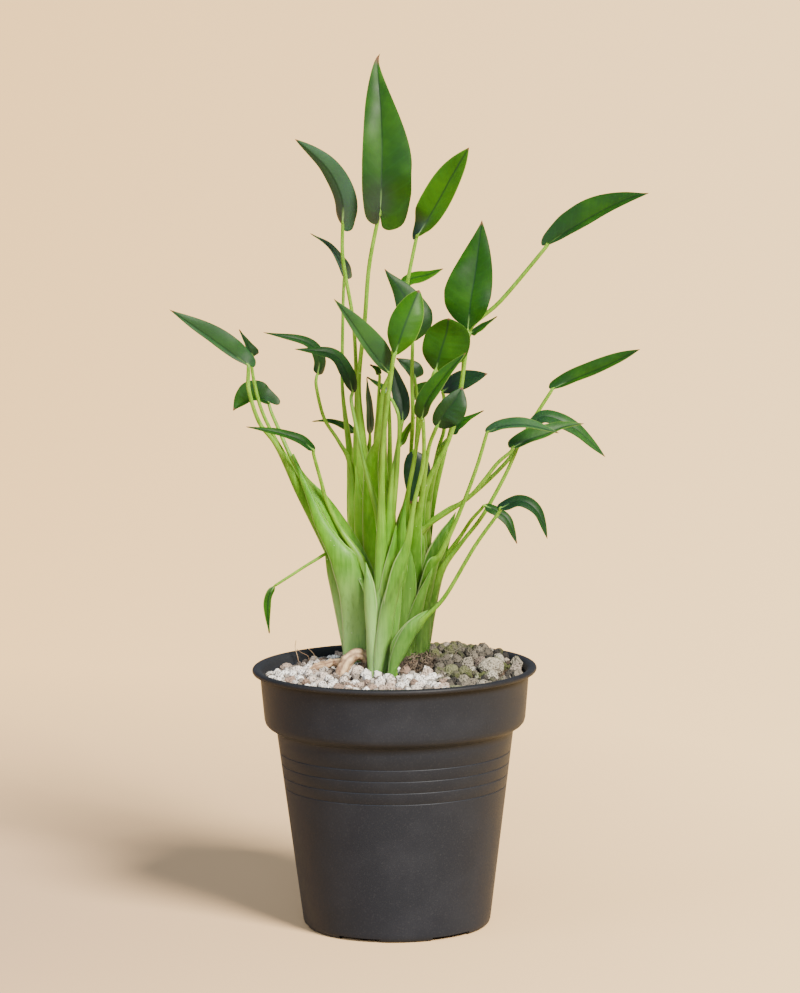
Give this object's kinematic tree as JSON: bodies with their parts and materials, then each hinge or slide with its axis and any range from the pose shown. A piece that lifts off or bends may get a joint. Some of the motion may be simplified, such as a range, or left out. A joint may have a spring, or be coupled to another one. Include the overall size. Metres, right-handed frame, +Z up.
{
  "type": "potted alocasia plant",
  "caption": "Small many-leaved alocasia with long stalks and pointed leaves in a plain round nursery pot topped with pumice gravel.",
  "frame": {"origin": "centre of the pot's base on the ground", "axes": "+Z up along the pot's axis, -Y towards the front of the plant as pictured, +X to its right"},
  "size_m": [0.1998, 0.12, 0.3666],
  "materials": {
    "pot": "matte",
    "mix": "rough",
    "pumice": "rough",
    "mossy_pumice": "rough",
    "pebble": "rough",
    "old_root": "rough",
    "stalk": "satin",
    "blade": "glossy"
  },
  "bodies": {
    "root": {"pot": "pot", "potting_mix": "mix", "gravel_white": "pumice", "gravel_mossy": "mossy_pumice", "large_pebble": "pebble", "old_root": "old_root", "shoot_left": "stalk", "shoot_rear": "stalk", "shoot_front": "stalk", "shoot_small": "stalk", "shoot_right": "stalk", "leaf_tallest": "blade", "leaf_top_left": "blade", "leaf_top_right": "blade", "leaf_upper_left_dark": "blade", "leaf_far_right_high": "blade", "leaf_middle_tall": "blade", "leaf_round": "blade", "leaf_sliver": "blade", "leaf_light_centre": "blade", "leaf_dark_centre": "blade", "leaf_light_back": "blade", "leaf_light_left": "blade", "leaf_low_centre_dark": "blade", "leaf_small_grey": "blade", "leaf_bright_narrow": "blade", "leaf_right_dark": "blade", "leaf_glossy": "blade", "leaf_edge_on": "blade", "leaf_hanging": "blade", "leaf_left_inner": "blade", "leaf_left_middle": "blade", "leaf_left_low_back": "blade", "leaf_far_left": "blade", "leaf_far_left_back": "blade", "leaf_left_wide": "blade", "leaf_left_low": "blade", "leaf_drooping_young": "blade", "leaf_far_right": "blade", "leaf_right_arched": "blade", "leaf_right_bright": "blade", "leaf_right_drooping": "blade", "leaf_right_low": "blade", "leaf_right_lowest": "blade", "leaf_centre_dark": "blade", "leaf_centre_tip": "blade", "leaf_centre_narrow": "blade", "leaf_olive_back": "blade", "leaf_young_rolled": "blade"}
  },
  "joints": []
}
